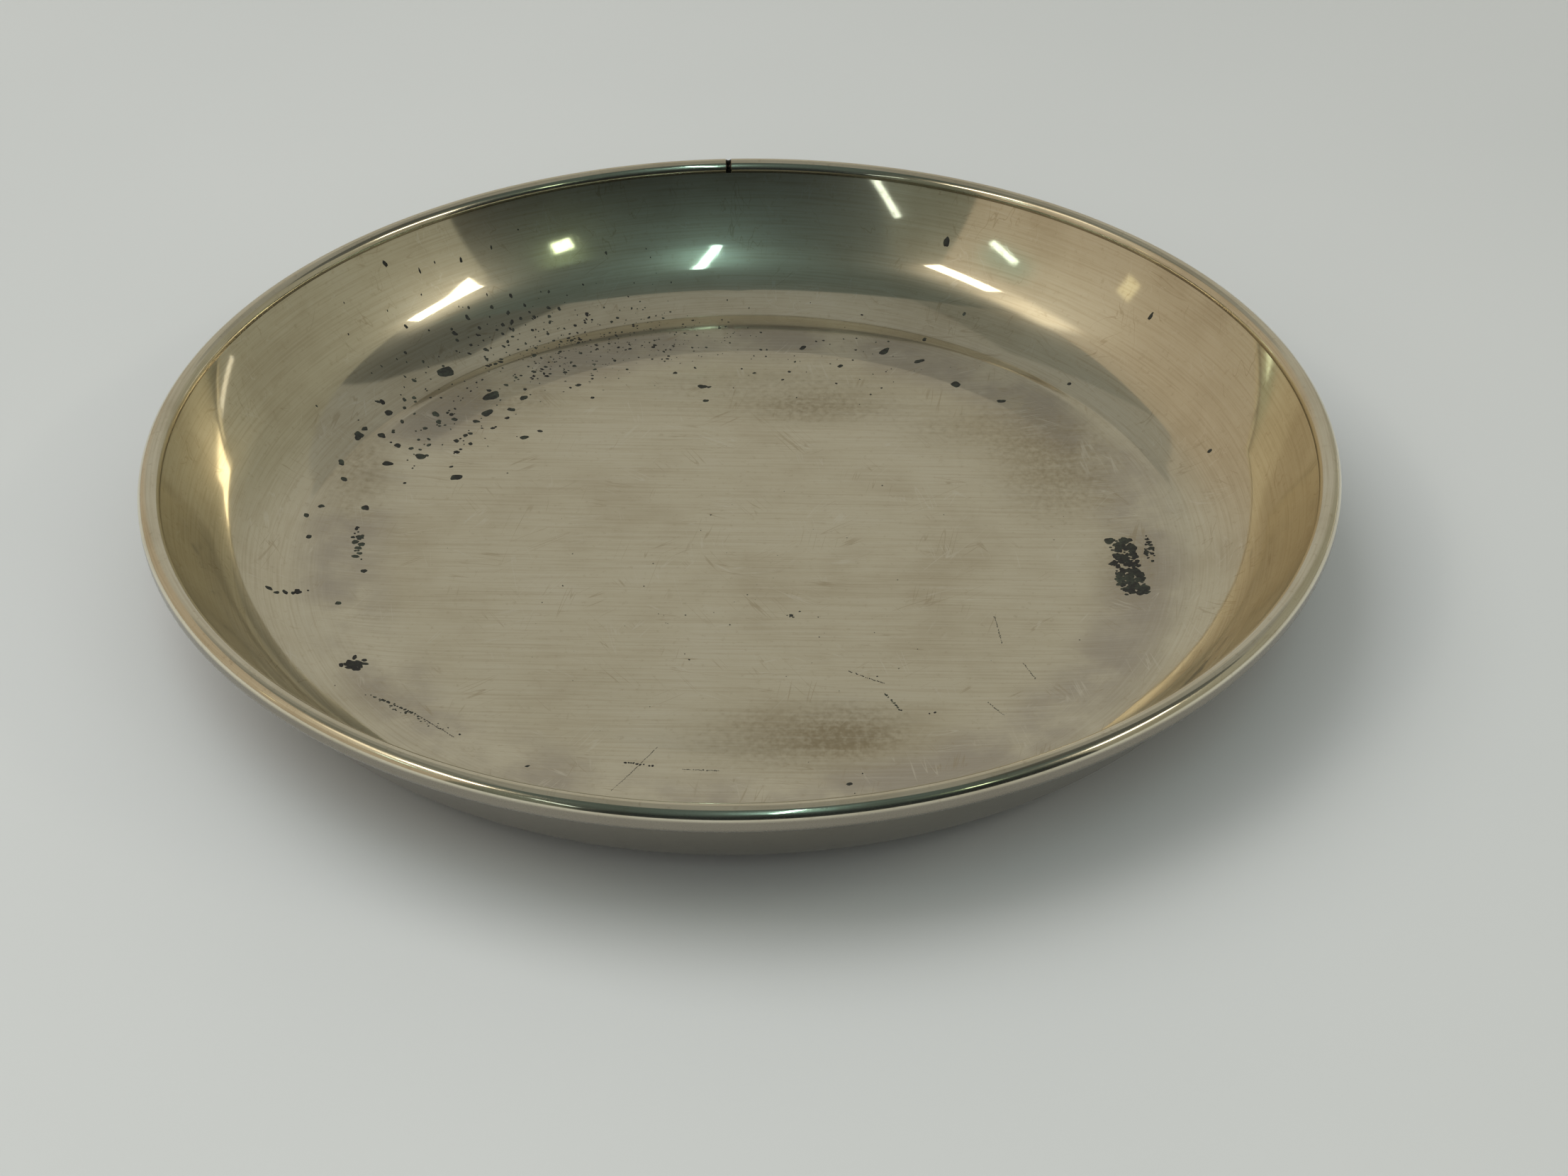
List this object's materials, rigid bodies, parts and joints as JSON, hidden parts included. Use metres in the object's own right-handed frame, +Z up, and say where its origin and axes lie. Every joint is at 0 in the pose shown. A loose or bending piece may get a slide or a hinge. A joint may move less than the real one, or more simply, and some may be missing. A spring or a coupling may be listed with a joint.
{
  "type": "coin tray",
  "caption": "Shallow round silver coin dish with a flat brushed floor, a curved spun wall and a rounded wire soldered round its rim.",
  "frame": {"origin": "on the table, in the middle of the dish's flat underside", "axes": "+Z up, along the dish's turning axis; X and Y lie in the table's plane"},
  "size_m": [0.11, 0.11, 0.014],
  "materials": {
    "silver_sheet": "worn sterling silver sheet, finely brushed floor and polished wall, warm tarnish with dark pits",
    "silver_wire": "polished sterling silver wire, light wear and small nicks",
    "silver_solder": "dull hard silver solder, tarnished in the crease"
  },
  "bodies": {
    "root": {"dish_body": "silver_sheet", "rim_wire": "silver_wire", "rim_solder": "silver_solder"}
  },
  "joints": []
}
